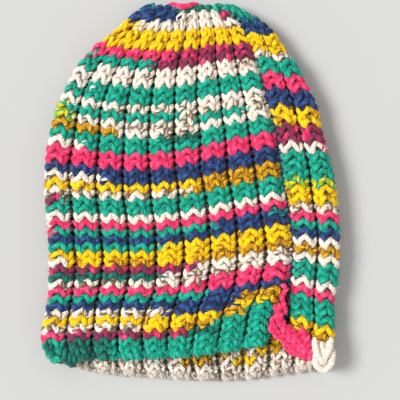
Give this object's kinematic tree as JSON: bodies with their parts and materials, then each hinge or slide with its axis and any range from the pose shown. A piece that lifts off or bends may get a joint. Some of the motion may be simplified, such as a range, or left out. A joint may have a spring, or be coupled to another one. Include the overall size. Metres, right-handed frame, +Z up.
{
  "type": "ribbed knitted beanie",
  "caption": "Chunky ribbed knitted beanie laid flat, with a sewn side seam, a gathered crown and an open brim.",
  "frame": {"origin": "on the surface that the hat lies on, under the middle of its outline", "axes": "+Z up through the two layers, +Y from the brim to the crown, +X to the right seen from above"},
  "size_m": [0.2002, 0.2491, 0.0205],
  "materials": {
    "striped_yarn": "matte wool, striped teal, cream, pink, navy and mustard",
    "dark_yarn": "matte wool",
    "pink_yarn": "matte wool"
  },
  "bodies": {
    "root": {"knitted_panel": "striped_yarn", "seam_yarn": "dark_yarn", "crown_draw_yarn": "pink_yarn"}
  },
  "joints": []
}
